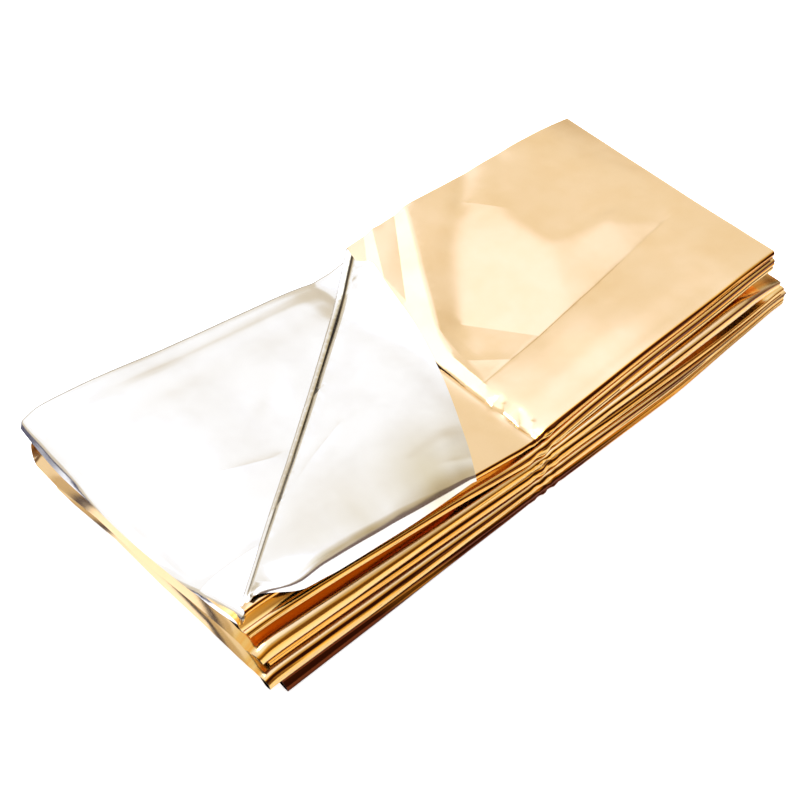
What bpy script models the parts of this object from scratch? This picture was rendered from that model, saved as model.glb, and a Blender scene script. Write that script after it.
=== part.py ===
"""Folded emergency foil blanket, opened out to two panels, with one corner of its top layer turned back.

The blanket is one metallised film. It is gathered lengthwise into a band, and the band is laid back and
forth in layers. The band is gold on one side and silver on the other, so every fold at the front shows
gold, and the layer under the turned corner shows silver.

The band is made flat, as a grid whose X runs along the packet and whose Y runs along the band. Each point
is then carried to its place in the folded packet, and the film gets its thickness. Lengths are in
millimetres until the last step. X runs along the packet, Y towards the back, Z up.
"""

import math
from collections import namedtuple

import bmesh
import bpy
from mathutils import Vector

METRES = 0.001

# The packet.
FILM = 1.0  # thickness of the gathered film in one layer
LAYERS = 12
LAYER_RUN = 95.0  # flat width of one layer, between its two folds
FOLD_RUN = 3.5  # flat length of film that goes round one fold
LONGEST_NOSE = 1.8  # how far a fold stands out past the straight part of its layers
LEAST_PITCH = 1.25  # from one layer's middle to the next, where the packet is pressed flat
ORIGIN = (110.0, 49.0)  # middle of the footprint, which becomes the part's origin
DEPTH = 100.0
BACK_LINE = 98.0
CREASE = 104.0  # the packet was folded in half here

# Height of the middle of layer eleven, and how far layer twelve lies above it.
Profile = namedtuple("Profile", "x front middle back lift_front lift_back")
PROFILES = (
    Profile(-8.5, 33.4, 30.8, 37.4, 1.5, 1.6),
    Profile(-2.0, 33.3, 32.0, 36.6, 1.5, 1.6),
    Profile(12.0, 32.0, 32.4, 34.6, 1.5, 1.6),
    Profile(45.0, 27.4, 27.9, 29.2, 1.5, 1.6),
    Profile(74.0, 23.2, 24.0, 25.7, 1.5, 1.8),
    Profile(92.0, 20.4, 21.6, 22.9, 1.5, 2.2),
    Profile(99.0, 19.4, 20.2, 21.7, 1.5, 3.2),
    Profile(104.0, 19.2, 19.6, 20.9, 1.6, 4.6),
    Profile(109.0, 19.7, 20.0, 20.8, 2.4, 6.0),
    Profile(118.0, 20.6, 20.8, 21.5, 2.3, 6.2),
    Profile(131.0, 21.6, 22.5, 23.4, 2.2, 4.6),
    Profile(145.0, 22.7, 24.0, 25.2, 2.3, 5.4),
    Profile(160.0, 23.6, 24.9, 26.0, 2.4, 4.2),
    Profile(185.0, 24.5, 25.2, 26.2, 2.4, 3.2),
    Profile(205.0, 25.4, 25.8, 26.4, 2.5, 3.4),
    Profile(228.0, 25.6, 25.6, 25.0, 2.4, 2.2),
)

# Ends of each layer along X, from the bottom. The film's ends are cut a little unevenly.
LayerEnd = namedtuple("LayerEnd", "left_front left_middle left_back right_front right_back")
LAYER_ENDS = (
    LayerEnd(2.5, 1.5, 0.5, 227.5, 228.0),
    LayerEnd(1.0, 0.0, -0.5, 228.0, 229.0),
    LayerEnd(-3.0, -3.0, -1.5, 227.0, 228.0),
    LayerEnd(-4.6, -5.0, -3.4, 228.5, 229.0),
    LayerEnd(-3.0, -4.0, -2.6, 226.5, 227.5),
    LayerEnd(-4.4, -5.4, -3.6, 227.0, 228.0),
    LayerEnd(-6.0, -7.0, -5.6, 220.5, 223.0),
    LayerEnd(-8.2, -8.6, -8.8, 222.0, 224.0),
    LayerEnd(-6.8, -7.6, -8.4, 216.5, 221.5),
    LayerEnd(-8.6, -8.0, -6.0, 218.0, 223.0),
    LayerEnd(-8.2, -10.6, -8.0, 216.5, 222.0),
    LayerEnd(-6.0, -6.0, -6.0, 218.0, 223.5),
)

# Distance from each layer's middle to the next one's, as weights of the loose height.
PITCH_STATIONS = (-8.0, CREASE, 160.0, 200.0, 222.0)
Pitch = namedtuple("Pitch", "left crease half mouth right back_left back_crease back_right")
PITCHES = (
    Pitch(5.4, 1.9, 2.0, 1.3, 1.5, 1.4, 1.4, 1.5),
    Pitch(1.3, 1.6, 1.6, 1.3, 1.3, 3.1, 2.2, 3.0),
    Pitch(5.2, 2.0, 2.2, 1.3, 1.5, 1.6, 1.4, 1.5),
    Pitch(1.3, 1.6, 1.6, 1.3, 1.3, 4.4, 2.2, 3.0),
    Pitch(2.4, 1.9, 2.2, 1.3, 1.5, 1.8, 1.4, 1.5),
    Pitch(1.6, 1.6, 3.4, 9.0, 3.6, 8.4, 2.3, 3.6),
    Pitch(5.4, 1.9, 3.6, 3.9, 1.8, 2.0, 1.4, 1.6),
    Pitch(3.5, 1.7, 1.5, 1.4, 7.0, 8.6, 2.3, 3.0),
    Pitch(3.0, 2.0, 3.0, 3.2, 3.0, 2.0, 1.4, 1.7),
    Pitch(3.8, 2.0, 1.5, 1.5, 1.5, 3.4, 2.3, 2.6),
)

# Where the straight part of the layers ends, along Y, at each front fold and each back fold.
Fold = namedtuple("Fold", "left crease half mouth right")
FRONT_FOLDS = (
    Fold(-2.0, -1.2, -1.4, 0.2, 1.6),
    Fold(-1.8, -0.6, -0.8, 0.6, 1.6),
    Fold(-0.6, 0.2, 0.0, 1.2, 1.8),
    Fold(-0.6, 0.6, -0.4, -0.2, 0.4),
    Fold(1.6, 1.4, 1.6, 2.2, 2.8),
    Fold(3.4, 2.2, 2.2, 2.7, 2.9),
)
BACK_FOLDS = (
    Fold(97.4, 98.8, 98.4, 98.0, 98.0),
    Fold(97.0, 99.0, 98.8, 98.4, 98.4),
    Fold(98.2, 98.6, 98.0, 97.6, 97.6),
    Fold(98.8, 98.8, 98.6, 98.0, 98.0),
    Fold(98.4, 99.0, 98.6, 98.0, 97.8),
)

# The corner turned back. Its fold runs from the front left corner to the back edge past the crease.
FOLD_FROM = Vector((-6.0, 0.8))
FOLD_TO = Vector((118.7, 94.5))
Curl = namedtuple("Curl", "along radius")
CURLS = (Curl(0.0, 0.8), Curl(156.0, 2.5))

# The flap's own edge, by the place on the fold that it is square to: how far it reaches, how far it has
# slid along the fold, and its height above the layer under it.
Edge = namedtuple("Edge", "along reach slide lift")
EDGES = (
    Edge(0.0, 1.0, 0.0, 2.4),
    Edge(4.0, 2.5, 0.0, 2.4),
    Edge(9.0, 10.6, 0.0, 2.8),
    Edge(18.0, 17.8, 0.6, 3.9),
    Edge(34.0, 30.8, 2.0, 4.0),
    Edge(50.0, 44.2, 4.0, 3.4),
    Edge(58.0, 52.0, 6.7, 2.7),
    Edge(66.0, 50.6, 4.6, 2.3),
    Edge(82.0, 45.5, 2.7, 1.9),
    Edge(105.0, 36.3, 1.6, 1.9),
    Edge(122.5, 25.8, 0.8, 2.6),
    Edge(140.0, 12.6, 0.4, 3.6),
    Edge(156.0, 0.6, 0.0, 4.6),
)
CROWN = 1.4  # more height in the middle of the flap

# The strip along the flap's front edge that is bent down, by the place along the film's cut edge.
Strip = namedtuple("Strip", "y depth")
STRIPS = (
    Strip(0.0, 0.3),
    Strip(9.0, 0.3),
    Strip(16.0, 3.2),
    Strip(28.0, 5.2),
    Strip(55.0, 4.6),
    Strip(95.0, 1.8),
)
STRIP_LEAN = 0.3
STRIP_FLAT = 0.3  # of the strip, next to the bend

# The grid.
END_CELL = 6.0
STATIONS = (
    12.0, 28.0, 46.0, 64.0, 82.0, 94.0, 100.0, 104.0, 108.0, 115.0, 130.0, 146.0, 164.0, 182.0, 198.0, 210.0,
)
CELLS = 4  # across a hidden layer
SILVER_CELLS = 8  # across the layer under the top one
TOP_LINES = (0.0, 9.0, 15.0, 22.0, 31.0, 45.0, 56.0, 68.0, 82.0, 95.0)
FOLD_CELLS = 4
CURL_CUTS = 4
SNAP = 0.3  # a grid point this near a cut is taken as on it

LAYER_LENGTH = LAYER_RUN + FOLD_RUN
TOP = LAYERS - 1
ALONG = (FOLD_TO - FOLD_FROM).normalized()
AWAY = Vector((-ALONG.y, ALONG.x))


def between(keys, values, key):
    """Straight reading between the values at a rising row of keys."""
    if key <= keys[0]:
        return values[0]
    for i in range(len(keys) - 1):
        if key <= keys[i + 1]:
            t = (key - keys[i]) / (keys[i + 1] - keys[i])
            return values[i] * (1 - t) + values[i + 1] * t
    return values[-1]


def read(table, column, key):
    """A column of a table, read at a value of the table's first column."""
    return between([row[0] for row in table], [getattr(row, column) for row in table], key)


def through(front, middle, back, y):
    """A smooth curve through the values at the front, the middle and the back."""
    t = min(1.0, max(0.0, y / DEPTH))
    return front * (2 * t - 1) * (t - 1) + middle * 4 * t * (1 - t) + back * t * (2 * t - 1)


def layer_heights(x, y):
    """Height of the middle of every layer at one place."""
    t = min(1.0, max(0.0, y / DEPTH))
    front, middle, back = (read(PROFILES, column, x) for column in ("front", "middle", "back"))
    eleventh = through(front, middle, back, y)
    lift = read(PROFILES, "lift_front", x) * (1 - t) + read(PROFILES, "lift_back", x) * t
    extra = []
    for row in PITCHES:
        at_front = between(PITCH_STATIONS, row[:5], x)
        at_back = between((-8.0, CREASE, 222.0), row[5:], x)
        extra.append(at_front * (1 - t) + at_back * t - LEAST_PITCH)
    loose = eleventh - FILM / 2 - LEAST_PITCH * len(PITCHES)
    heights = [FILM / 2]
    for value in extra:
        heights.append(heights[-1] + LEAST_PITCH + loose * value / sum(extra))
    heights.append(eleventh + lift)
    return heights


def layer_edges(layer, x):
    """Where a layer's straight part starts at the front and ends at the back."""
    front = between(PITCH_STATIONS, FRONT_FOLDS[layer // 2], x)
    if layer in (0, TOP):
        return front, BACK_LINE
    return front, between(PITCH_STATIONS, BACK_FOLDS[(layer - 1) // 2], x)


def on_layer(layer, x, across):
    """A point of a layer's straight part. across is 0 at its front and 1 at its back."""
    front, back = layer_edges(layer, x)
    y = front + (back - front) * across
    return Vector((x, y, layer_heights(x, y)[layer]))


def on_fold(lower, x, turn):
    """A point on the round fold that joins a layer to the next. turn is 0 to 1."""
    at_front = lower % 2 == 0
    across = 0.0 if at_front else 1.0
    start, end = on_layer(lower, x, across), on_layer(lower + 1, x, across)
    middle = (start + end) / 2
    half = (end.z - start.z) / 2
    out = min(half, LONGEST_NOSE) * (-1.0 if at_front else 1.0)
    angle = math.pi * turn
    return Vector((x, middle.y + out * math.sin(angle), middle.z - half * math.cos(angle)))


def strip_depth(y):
    return read(STRIPS, "depth", y)


def fold_point(along):
    """The place on the turned corner's fold, on the top layer."""
    foot = FOLD_FROM + ALONG * along
    return on_layer(TOP, foot.x, foot.y / LAYER_RUN)


def film_limit(along):
    """How far the flat film reaches from the fold, to the strip's bend or to the back edge."""
    to_back = (LAYER_RUN - FOLD_FROM.y - along * ALONG.y) / AWAY.y
    to_bend = 0.0
    for _ in range(12):
        y = FOLD_FROM.y + along * ALONG.y + to_bend * AWAY.y
        to_bend = (strip_depth(y) - along * ALONG.x) / AWAY.x
    return min(to_back, to_bend)


def on_flap(along, distance):
    """A point of the turned corner, from its place on the fold and its flat distance from the fold."""
    base = fold_point(along)
    radius = read(CURLS, "radius", along)
    if distance < math.pi * radius:
        angle = distance / radius
        out = radius * math.sin(angle)
        return base + Vector((AWAY.x * out, AWAY.y * out, radius * (1 - math.cos(angle))))
    rolled = math.pi * radius
    share = (distance - rolled) / max(0.5, film_limit(along) - rolled)
    shift = ALONG * read(EDGES, "slide", along) - AWAY * read(EDGES, "reach", along)
    x, y = base.x + shift.x * share, base.y + shift.y * share
    lift = 2 * radius * (1 - share) + read(EDGES, "lift", along) * share
    lift += CROWN * math.sin(math.pi * share) * math.sin(math.pi * min(1.0, max(0.0, along / 155.0)))
    return Vector((x, y, layer_heights(x, y)[TOP] + lift))


def on_top_layer(x, y):
    """A point of the top layer, whose left corner is turned back and whose cut edge is bent down."""
    flat = Vector((x, y)) - FOLD_FROM
    if flat.dot(AWAY) <= 0.0:
        return on_layer(TOP, x, y / LAYER_RUN)
    beyond = max(0.0, strip_depth(y) - STRIP_FLAT - flat.x)
    flat.x += beyond
    return on_flap(flat.dot(ALONG), flat.dot(AWAY)) - Vector((0.0, STRIP_LEAN * beyond, beyond))


def place(x, path):
    """Carries a point of the flat band to its place in the packet."""
    layer = min(TOP, int(path // LAYER_LENGTH))
    run = path - layer * LAYER_LENGTH
    if run > LAYER_RUN:
        return on_fold(layer, x, (run - LAYER_RUN) / FOLD_RUN)
    if layer == TOP:
        return on_top_layer(x, run)
    to_back = layer % 2 == 1
    return on_layer(layer, x, run / LAYER_RUN if to_back else 1 - run / LAYER_RUN)


def path_steps():
    """Distances along the band where the grid has a line."""
    steps = []
    for layer in range(LAYERS):
        start = layer * LAYER_LENGTH
        cells = SILVER_CELLS if layer == TOP - 1 else CELLS
        lines = TOP_LINES if layer == TOP else [LAYER_RUN * i / cells for i in range(cells + 1)]
        steps += [start + line for line in lines]
        if layer < TOP:
            steps += [start + LAYER_RUN + FOLD_RUN * i / FOLD_CELLS for i in range(1, FOLD_CELLS)]
    return steps


def film_ends(layer, across):
    """Left and right ends of a layer, at a share of the way to its back."""
    row = LAYER_ENDS[layer]
    left = through(row.left_front, row.left_middle, row.left_back, across * DEPTH)
    return left, row.right_front * (1 - across) + row.right_back * across


def band_ends(path):
    """Left and right ends of the band at a distance along it."""
    layer = min(TOP, int(path // LAYER_LENGTH))
    run = path - layer * LAYER_LENGTH
    across = min(1.0, run / LAYER_RUN)
    across = across if layer % 2 == 1 else 1 - across
    left, right = film_ends(layer, across)
    if run > LAYER_RUN:
        turn = (run - LAYER_RUN) / FOLD_RUN
        next_left, next_right = film_ends(layer + 1, across)
        left += (next_left - left) * turn
        right += (next_right - right) * turn
    return left, right


def flat_band():
    """The band before it is folded, as a grid with a line of points where the strip bends."""
    mesh = bmesh.new()
    rows = []
    for path in path_steps():
        left, right = band_ends(path)
        run = max(0.0, path - TOP * LAYER_LENGTH)
        bend = left + max(strip_depth(run), END_CELL * (1 - run / STRIPS[1].y))
        line = [left, (left + bend) / 2, bend, *STATIONS, right]
        rows.append([mesh.verts.new((x, path, 0.0)) for x in line])
    for low, high in zip(rows, rows[1:]):
        for i in range(len(low) - 1):
            mesh.faces.new((low[i], low[i + 1], high[i + 1], high[i]))
    return mesh


def cut_along_fold(mesh):
    """Adds lines of points along the turned corner's fold and round its curl."""
    start = TOP * LAYER_LENGTH
    for cut in range(CURL_CUTS + 1):
        turn = math.pi * cut / CURL_CUTS
        first = FOLD_FROM + AWAY * turn * CURLS[0].radius
        last = FOLD_TO + AWAY * turn * CURLS[-1].radius
        faces = [f for f in mesh.faces if f.calc_center_median().y > start]
        edges = {e for f in faces for e in f.edges}
        points = {v for f in faces for v in f.verts}
        bmesh.ops.bisect_plane(
            mesh,
            geom=[*points, *edges, *faces],
            dist=SNAP,
            plane_co=(first.x, first.y + start, 0.0),
            plane_no=(first.y - last.y, last.x - first.x, 0.0),
        )


def foil_material():
    material = bpy.data.materials.new("gold_film")
    material.use_nodes = True
    shader = material.node_tree.nodes["Principled BSDF"]
    shader.inputs["Base Color"].default_value = (0.86, 0.62, 0.30, 1.0)
    shader.inputs["Metallic"].default_value = 1.0
    shader.inputs["Roughness"].default_value = 0.28
    return material


def foil_blanket():
    mesh = flat_band()
    cut_along_fold(mesh)
    for vertex in mesh.verts:
        point = place(vertex.co.x, vertex.co.y)
        vertex.co = Vector((point.x - ORIGIN[0], point.y - ORIGIN[1], point.z)) * METRES
    bmesh.ops.triangulate(mesh, faces=[f for f in mesh.faces if len(f.verts) > 4])
    data = bpy.data.meshes.new("foil_blanket")
    mesh.to_mesh(data)
    mesh.free()
    blanket = bpy.data.objects.new("foil_blanket", data)
    bpy.context.scene.collection.objects.link(blanket)
    thickness = blanket.modifiers.new("film", "SOLIDIFY")
    thickness.thickness = FILM * METRES
    thickness.offset = 0.0
    data.materials.append(foil_material())
    data.shade_smooth()
    return blanket


for leftover in list(bpy.data.objects):
    bpy.data.objects.remove(leftover)
foil_blanket()
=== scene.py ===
import math

import bmesh
import bpy
import numpy as np
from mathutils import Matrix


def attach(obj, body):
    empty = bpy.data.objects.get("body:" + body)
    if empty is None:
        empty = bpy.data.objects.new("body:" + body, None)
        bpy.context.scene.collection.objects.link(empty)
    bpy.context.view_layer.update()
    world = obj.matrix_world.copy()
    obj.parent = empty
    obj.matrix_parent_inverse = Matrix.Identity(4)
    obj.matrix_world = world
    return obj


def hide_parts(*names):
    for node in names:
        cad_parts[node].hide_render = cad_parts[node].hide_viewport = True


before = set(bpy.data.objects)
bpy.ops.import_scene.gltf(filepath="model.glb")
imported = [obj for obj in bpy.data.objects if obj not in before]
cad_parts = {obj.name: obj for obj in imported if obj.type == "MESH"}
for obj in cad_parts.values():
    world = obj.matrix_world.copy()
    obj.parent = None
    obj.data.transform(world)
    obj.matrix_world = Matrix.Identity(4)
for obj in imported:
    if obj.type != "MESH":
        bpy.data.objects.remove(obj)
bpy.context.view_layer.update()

mm = 0.001

# Lengths are in millimetres, with X from the left end of the packet and Y from its front, until foilFilm
# moves the middle of the packet to the origin and turns them to metres.
packet = {
    "layers": 12,
    "layerRun": 95.0,  # flat width of one layer
    "foldRun": 3.5,  # flat length of the film round one fold
    "leastPitch": 1.25,
    "sole": 0.25,  # middle of the bottom layer above the surface
    "middle": (110.0, 49.0),
    "depth": 100.0,
    "backLine": 98.0,
    "crease": 104.0,
    # height of layer eleven at the front, middle and back, and how far layer twelve lies above it
    "profile": {
        "x": (-8.5, -2, 12, 45, 74, 92, 99, 104, 109, 118, 131, 145, 160, 185, 205, 228),
        "front": (
            33.4, 33.3, 32, 27.4, 23.2, 20.4, 19.4, 19.2, 19.7, 20.6, 21.6, 22.7, 23.6, 24.5, 25.4, 25.6,
        ),
        "middle": (28.9, 31.3, 32.4, 27.9, 24, 21.6, 20.2, 19.6, 20, 20.8, 22.5, 24, 24.9, 25.2, 25.8, 25.6),
        "back": (36.6, 38.2, 37.0, 31.4, 27.2, 24.6, 23.2, 22.2, 22.2, 23.4, 25.4, 27.4, 27.8, 28, 28, 26.4),
        "liftFront": (1.5, 1.5, 1.5, 1.5, 1.5, 1.5, 1.5, 1.6, 2.4, 2.3, 2.2, 2.3, 2.4, 2.4, 2.5, 2.4),
        "liftBack": (1.6, 1.6, 1.6, 1.6, 1.8, 2.2, 3.4, 5.0, 6.8, 7.0, 5.8, 6.4, 5.0, 4.2, 3.6, 2.4),
    },
    # ends of each layer from the bottom: left front, left middle, left back, right front, right back
    "ends": (
        (0.5, 4, 1.5, 227.5, 228), (-1, 3.4, 1.5, 228, 229), (-5.4, 2, 1, 227, 228),
        (-7, -5, -4.6, 228.5, 229), (-3, -4, -2.6, 226.5, 227.5), (-4.4, -5.4, -3.6, 227, 228),
        (-6, -7, -5.6, 220.5, 223), (-8.2, -8.6, -8.8, 222, 224), (-6.8, -7.6, -8.4, 216.5, 221.5),
        (-8.6, -8, -6, 218, 223), (-8.2, -10.4, -9.6, 216.5, 222), (-6, -6, -6, 218, 223.5),
    ),
    # share of the loose height in each gap: at the front at its stations, then at the back at its own, of
    # which the second is worked out with the flare
    "stations": (-8, 104, 160, 200, 222),
    "backStations": (-8, 7, 104, 222),
    "flare": 0.35,  # share of the left end's gaps at the back that is left at the second of these stations
    # the gaps between folds close behind the front: to a slot, past a depth, and not right of the mouth
    "slot": 0.42,
    "closeFrom": 1.5,
    "closeDepth": 3.5,
    "closeEnd": 32.0,
    "closeFade": 14.0,
    "mouthFade": 25.0,
    "mouth": (175, 175, 118, 208, 195),
    "gaps": (
        (5.4, 1.9, 2, 1.3, 1.5, 2.4, 1.4, 1.5), (1.3, 1.6, 1.6, 1.3, 1.3, 4.2, 2.2, 3),
        (5.2, 2, 2.2, 1.3, 1.5, 3.2, 1.4, 1.5), (1.3, 1.6, 1.6, 1.3, 1.3, 2.6, 2.2, 3),
        (2.4, 1.9, 2.2, 1.3, 1.5, 1.6, 1.4, 1.5), (1.6, 1.6, 3.4, 9, 3.6, 6.5, 2.3, 3.6),
        (5.4, 1.9, 3.6, 3.9, 1.8, 2.2, 1.4, 1.6), (3.5, 1.7, 1.5, 2.2, 5.4, 8.6, 2.3, 3),
        (3, 2, 3, 3.2, 3, 2, 1.4, 1.7), (3.8, 2, 1.5, 1.5, 1.5, 3.4, 2.3, 2.6),
    ),
    "frontFolds": (
        (-2, -1.2, -1.4, 0.2, 1.6), (-1.8, -0.6, -0.8, 0.6, 1.6), (-0.6, 0.2, 0, 1.2, 1.8),
        (-0.6, 0.6, -0.4, -0.2, 0.4), (1.6, 1.4, 1.6, 2.2, 2.8), (3.4, 2.2, 2.2, 2.7, 2.9),
    ),
    "backFolds": (
        (95.4, 98.8, 98.4, 98, 98), (93.5, 99, 98.8, 98.4, 98.4), (96, 98.6, 98, 97.6, 97.6),
        (95, 98.8, 98.6, 98, 98), (98.4, 99, 98.6, 98, 97.8),
    ),
}

# How each front fold stands out, from the bottom: its depth, how square it is, and how far its foot stands
# out past its top at the left end, the crease and the right end. A foot that stands out turns the face up.
noses = {
    "stations": (0, packet["crease"], 220),
    "out": (1.9, 3.4, 1.8, 3.4, 2.2, 1.6),
    "square": (2.4, 2.1, 2.3, 2.1, 2.4, 2.4),
    "squareRight": 3.4,
    "footLeft": (4.2, 0.6, 1.4, 0.6, 0.2, 0.6),
    "footCrease": (1.3, 0.2, 0.8, 0.0, 0.2, 1.5),
    "footRight": (-0.2, -0.1, -0.2, 0.1, -0.1, 0.4),
    # the painted shade and painted reflection bands on each fold's gold, at steps up from its foot, and how
    # far that fades to the right
    "paintedShadeSteps": (0, 0.18, 0.42, 0.64, 0.84, 0.93, 1),
    "paintedShadeBands": (
        (1.7, 1.8, 1.8, 1.7, 1.6, 1.4, 0.9), (1.4, 0.9, 0.3, 0.6, 1.4, 0.15, 0),
        (1.4, 1, 0.5, 0.7, 1.4, 0.5, 0.2), (1.4, 0.95, 0.35, 0.6, 1.5, 0.15, 0),
        (1.3, 0.7, 0.3, 0.6, 1.4, 0.5, 0.1), (0.9, 0.8, 0.7, 0.9, 1.5, 1.3, 0.1),
    ),
    "paintedShadeRight": (0.35, 0.85, 0.8, 0.85, 1.0, 1.2),
    "streakDepth": 0.02,
    "streakCount": (2.2, 3.7, 5.9),  # across one fold
    "streakLength": (150.0, 90.0, 60.0),
    "crushDepth": 0.42,  # of the crumpled facets at the crease
    "crushSpread": 5.5,
    "seed": 21,
}

# Fine valleys along the front folds: the fold, the share of its height at the left end, the crease and the
# right end, and the depth at the left end and the right end.
valleys = (
    (0, 0.62, 0.50, 0.45, 0.30, 0.40), (1, 0.45, 0.50, 0.60, 0.35, 0.45), (1, 0.72, 0.74, 0.30, 0.12, 0.30),
    (2, 0.50, 0.45, 0.50, 0.20, 0.40), (3, 0.26, 0.36, 0.30, 0.30, 0.22), (3, 0.58, 0.66, 0.66, 0.14, 0.30),
    (4, 0.34, 0.40, 0.48, 0.30, 0.55), (4, 0.70, 0.72, 0.78, 0.10, 0.25), (5, 0.50, 0.40, 0.36, 0.12, 0.35),
)

flap = {
    "foldFrom": (-6.0, 0.8),
    "foldTo": (118.7, 94.5),
    "foldLength": 156.0,
    "radius": (0.8, 2.5),  # of the curl at its two ends
    # direction of the film round the fold, in degrees, at shares of its length: it lies flat, turns back
    # tightly, lies nearly flat again, and climbs a narrow facet to the flap
    "curlShare": (0.0, 0.17, 0.31, 0.36, 0.57, 0.60, 0.66, 0.69, 0.91, 0.96, 1.0),
    "curlTurn": (0, 8, 158, 171, 172, 142, 143, 149, 153, 178, 180),
    # the flap's edge, by the place on the fold that it is square to
    "edge": {
        "along": (0, 4, 9, 18, 34, 57.4, 58, 66, 82, 105, 122.5, 140, 156),
        "reach": (1, 2.5, 10.6, 17.8, 30.8, 51.4, 51.9, 50.4, 45.5, 36.3, 25.8, 12.6, 0.6),
        "slide": (0, 0, 0, 0.6, 2, 6.5, 6.6, 4.8, 2.7, 1.6, 0.8, 0.4, 0),
        "lift": (2.4, 2.4, 2.8, 3.6, 3.4, 2.5, 2.5, 2.2, 1.9, 2.3, 2.8, 3.6, 4.6),
    },
    "crown": 1.4,
    # the strip bent down along the flap's front edge
    "stripY": (0, 7, 15, 28, 55, 95),
    "strip": (0.3, 0.5, 3.4, 4.9, 4.3, 1.6),
    "stripLean": 0.3,
    "stripFlat": 0.3,
    "lipRound": 0.3,
    "preBend": 1.9,  # the flap slopes down over this width before it bends
    "preSlope": 0.66,
}

# Creases and ridges: from x, y to x, y, height, half width, and 1 for a sharp crease or 0 for a soft roll.
creases = {
    "gold": (
        (113.8, 52.4, 110.9, 38.1, 0.12, 1.5, 1), (110.9, 38.1, 121, 29.5, 0.12, 1.5, 1),
        (174, 53.5, 196, 51, 0.10, 1.4, 0),
        (160, 88, 170, 96, -0.40, 3.2, 0), (174, 84, 186, 95, -0.32, 3.0, 0),
        (194.5, 50.2, 198.5, 50.3, 0.24, 1.1, 0), (110, 12, 190, 14, 0.14, 4.0, 0),
        (104.4, 9, 107.2, 11.8, -0.45, 0.7, 1), (104.2, 15, 106.4, 17, 0.4, 0.6, 1),
        (104.6, 4, 107.2, 6, 0.45, 0.7, 1), (104.2, 20, 107, 20.6, -0.35, 0.6, 1),
        (150, 16, 214, 20, 0.10, 5.0, 0), (196, 96, 214, 60, 0.2, 6.0, 0),
    ),
    "silver": (
        (23, 47, 40, 43, 0.35, 2.0, 1), (-9, 19, 10.6, 19, 0.45, 1.6, 1),
        (-4, 88, 96, 93, 0.5, 4.0, 0), (-6, 68, 92, 76, 1.4, 14.0, 0),
        (18, 60, 60, 66, 0.22, 5.0, 0), (30, 24, 62, 40, 0.28, 3.2, 0), (6, 34, 30, 30, 0.16, 4.0, 0),
        (8, 74, 40, 80, 0.2, 6.0, 0), (52, 60, 74, 84, -0.3, 3.4, 0), (20, 12, 34, 16, 0.2, 2.4, 0),
    ),
    "flap": (
        (20, 22, 44, 58, 0.2, 0.8, 1), (40, 18, 64, 62, 0.2, 0.8, 1), (12, 40, 60, 84, 0.3, 7.0, 0),
        (4, 60, 20, 88, 0.25, 4.0, 0),
    ),
}

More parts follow.
